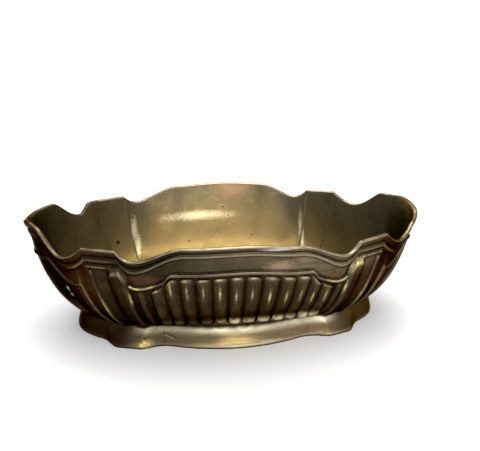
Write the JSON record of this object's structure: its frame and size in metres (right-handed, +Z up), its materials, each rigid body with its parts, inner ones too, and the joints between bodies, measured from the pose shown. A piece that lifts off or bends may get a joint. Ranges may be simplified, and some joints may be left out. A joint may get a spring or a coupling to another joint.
{
  "type": "planter pot",
  "caption": "Boat-shaped brass planter with a scalloped rim, reeded long sides, angular corner pilasters, rounded ends and a lobed flared foot.",
  "frame": {"origin": "centre of the plane that the foot stands on", "axes": "+Z up, X along the long sides, the front faces -Y"},
  "size_m": [0.3198, 0.1956, 0.091],
  "materials": {
    "wall_brass": "aged brass, dark in the recesses, rubbed bright on the crests",
    "foot_brass": "aged brass, paler and more rubbed than the walls",
    "floor_brass": "dull tarnished brass",
    "braze": "rough brazing metal"
  },
  "bodies": {
    "root": {"back_panel": "wall_brass", "front_panel": "wall_brass", "right_end_panel": "wall_brass", "left_end_panel": "wall_brass", "floor_plate": "floor_brass", "foot_back_rail": "foot_brass", "foot_front_rail": "foot_brass", "foot_right_end": "foot_brass", "foot_left_end": "foot_brass", "back_right_pilaster": "wall_brass", "back_left_pilaster": "wall_brass", "front_right_pilaster": "wall_brass", "front_left_pilaster": "wall_brass", "back_right_foot_corner": "foot_brass", "back_left_foot_corner": "foot_brass", "front_right_foot_corner": "foot_brass", "front_left_foot_corner": "foot_brass", "back_right_side_seam": "braze", "back_left_side_seam": "braze", "front_right_side_seam": "braze", "front_left_side_seam": "braze", "back_right_end_seam": "braze", "back_left_end_seam": "braze", "front_right_end_seam": "braze", "front_left_end_seam": "braze"}
  },
  "joints": []
}
